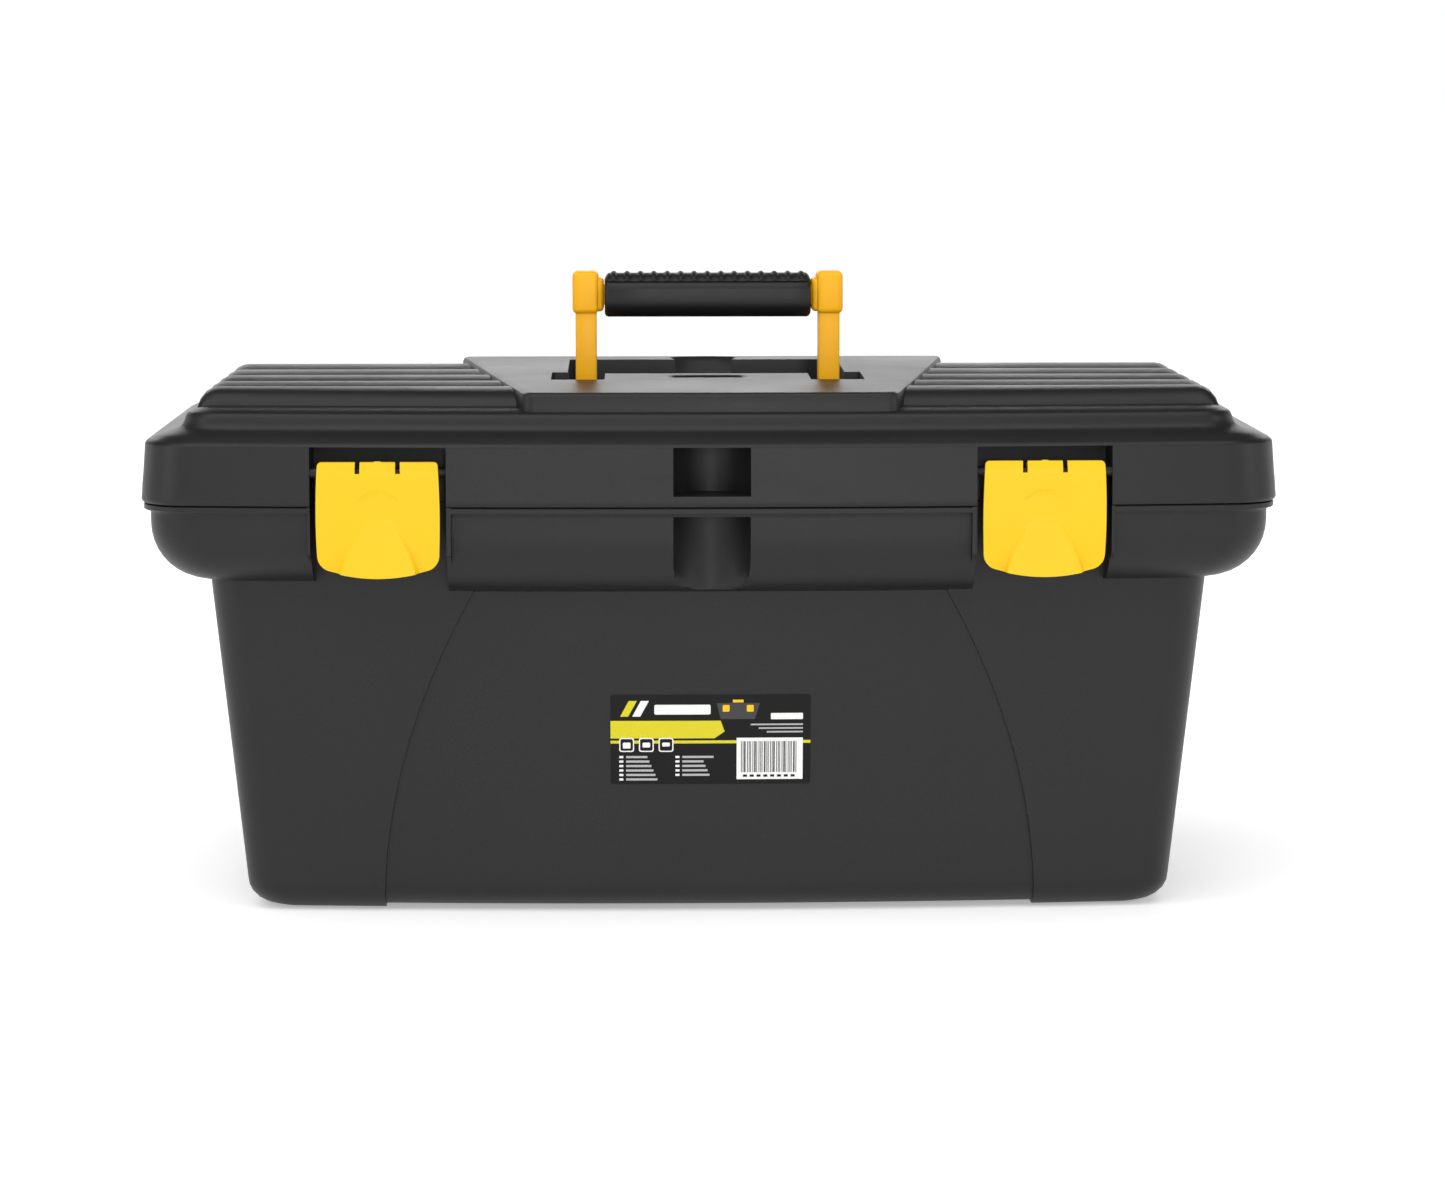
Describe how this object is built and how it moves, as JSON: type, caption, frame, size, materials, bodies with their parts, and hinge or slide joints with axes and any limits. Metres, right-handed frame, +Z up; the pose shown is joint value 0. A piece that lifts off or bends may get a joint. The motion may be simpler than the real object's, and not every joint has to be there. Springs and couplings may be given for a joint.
{
  "type": "toolbox with tray",
  "caption": "Moulded plastic toolbox with a hinged ribbed lid, snap latches, a folding carrying handle and a lift-out compartment tray.",
  "frame": {"origin": "middle of the bounding box in plan, on the surface the box stands on", "axes": "+X along the box to the viewer's right, -Y towards the front with the latches, +Z up"},
  "size_m": [0.56, 0.277, 0.319],
  "materials": {
    "charcoal_shell": "fine-grained satin polypropylene",
    "tray_plastic": "satin polypropylene",
    "yellow_latch": "satin moulded plastic",
    "amber_arm": "satin moulded plastic",
    "black_grip": "smooth satin plastic",
    "soft_pad": "ribbed soft grip",
    "steel_pin": "drawn wire",
    "label_paper": "printed gloss sticker"
  },
  "bodies": {
    "tub": {"tub": "charcoal_shell", "label": "label_paper", "hinge_pin_left": "steel_pin", "hinge_pin_right": "steel_pin"},
    "lid": {"lid": "charcoal_shell"},
    "latch_left": {"latch_left": "yellow_latch"},
    "latch_right": {"latch_right": "yellow_latch"},
    "handle": {"handle_arm_left": "amber_arm", "handle_arm_right": "amber_arm", "handle_grip": "black_grip", "grip_pad": "soft_pad"},
    "tray": {"tray": "tray_plastic", "tray_handle": "tray_plastic", "tray_divider_front_1": "tray_plastic", "tray_divider_front_2": "tray_plastic", "tray_divider_front_3": "tray_plastic", "tray_divider_back_1": "tray_plastic", "tray_divider_back_2": "tray_plastic"}
  },
  "joints": [
    {"name": "lid_hinge", "type": "hinge", "parent": "tub", "child": "lid", "pos_m": [0, 0.134, 0.2097], "axis": [-1, 0, 0], "range_deg": [0, 105]},
    {"name": "handle_fold", "type": "hinge", "parent": "lid", "child": "handle", "pos_m": [0, -0.029, 0.253], "axis": [-1, 0, 0], "range_deg": [0, 90]},
    {"name": "latch_left_swing", "type": "hinge", "parent": "lid", "child": "latch_left", "pos_m": [-0.162, -0.127, 0.226], "axis": [-1, 0, 0], "range_deg": [0, 100]},
    {"name": "latch_right_swing", "type": "hinge", "parent": "lid", "child": "latch_right", "pos_m": [0.162, -0.127, 0.226], "axis": [-1, 0, 0], "range_deg": [0, 100]},
    {"name": "tray_lift", "type": "slide", "parent": "tub", "child": "tray", "axis": [0, 0, 1], "range_m": [0, 0.165]}
  ],
  "couplings": [
    {"joint": "tray_lift", "follows": "lid_hinge", "m_per_rad": 0.0873}
  ]
}
